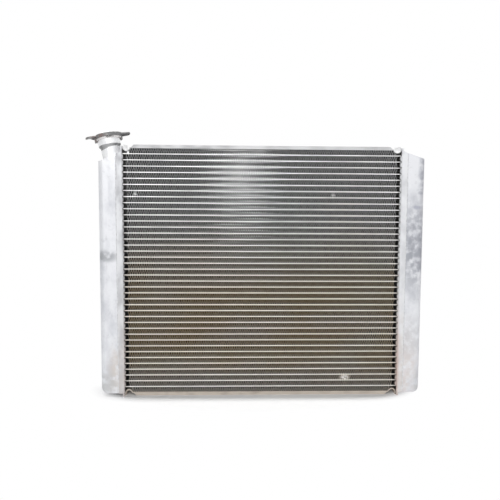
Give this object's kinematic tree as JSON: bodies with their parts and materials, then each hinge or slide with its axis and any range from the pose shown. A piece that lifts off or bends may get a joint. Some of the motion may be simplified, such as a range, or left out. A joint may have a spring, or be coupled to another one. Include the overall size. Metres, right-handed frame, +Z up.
{
  "type": "engine radiator",
  "caption": "Crossflow engine radiator with flat tubes, folded fins, slotted headers, two end tanks, rear hose necks and a leaning filler neck with a turning pressure cap.",
  "frame": {"origin": "middle of the whole part's box in plan, at the foot on which the part stands", "axes": "+Z up along the headers, +X from the filler neck's tank to the inlet tank, -Y towards the front"},
  "size_m": [0.6464, 0.112, 0.5088],
  "materials": {
    "tube_metal": "matt, dusty",
    "fin_metal": "matt, dusty",
    "header_metal": "matt, dirt in the corners",
    "plate_metal": "satin",
    "tank_metal": "satin, stained",
    "neck_metal": "satin",
    "plug_metal": "dull",
    "cap_metal": "plated, worn",
    "rivet_metal": "plated",
    "spring_metal": "bright",
    "valve_metal": "bright",
    "seal_rubber": "matt"
  },
  "bodies": {
    "radiator": {"tube_01": "tube_metal", "tube_02": "tube_metal", "tube_03": "tube_metal", "tube_04": "tube_metal", "tube_05": "tube_metal", "tube_06": "tube_metal", "tube_07": "tube_metal", "tube_08": "tube_metal", "tube_09": "tube_metal", "tube_10": "tube_metal", "tube_11": "tube_metal", "tube_12": "tube_metal", "tube_13": "tube_metal", "tube_14": "tube_metal", "tube_15": "tube_metal", "tube_16": "tube_metal", "tube_17": "tube_metal", "tube_18": "tube_metal", "tube_19": "tube_metal", "tube_20": "tube_metal", "tube_21": "tube_metal", "tube_22": "tube_metal", "tube_23": "tube_metal", "tube_24": "tube_metal", "tube_25": "tube_metal", "tube_26": "tube_metal", "tube_27": "tube_metal", "tube_28": "tube_metal", "tube_29": "tube_metal", "tube_30": "tube_metal", "tube_31": "tube_metal", "tube_32": "tube_metal", "tube_33": "tube_metal", "tube_34": "tube_metal", "tube_35": "tube_metal", "tube_36": "tube_metal", "tube_37": "tube_metal", "tube_38": "tube_metal", "tube_39": "tube_metal", "tube_40": "tube_metal", "fins": "fin_metal", "header_left": "header_metal", "header_right": "header_metal", "side_plate_top": "plate_metal", "side_plate_bottom": "plate_metal", "tank_left": "tank_metal", "tank_right": "tank_metal", "filler_neck": "neck_metal", "overflow_nipple": "neck_metal", "hose_necks": "neck_metal", "drain_plug": "plug_metal"},
    "cap": {"cap_shell": "cap_metal", "cap_disc": "spring_metal", "cap_rivet": "rivet_metal", "cap_spring": "spring_metal"},
    "valve": {"cap_valve": "valve_metal", "cap_seal": "seal_rubber"}
  },
  "joints": [
    {"name": "cap_turn", "type": "hinge", "parent": "radiator", "child": "cap", "pos_m": [-0.27687, -0.01795, 0.4763], "axis": [-0.2043, 0.1868, 0.9609], "range_deg": [0, 90]},
    {"name": "valve_lift", "type": "slide", "parent": "cap", "child": "valve", "axis": [-0.2043, 0.1868, 0.9609], "range_m": [0, 0.004], "stiffness_N_per_m": 300, "deforming": ["cap_spring"]}
  ]
}
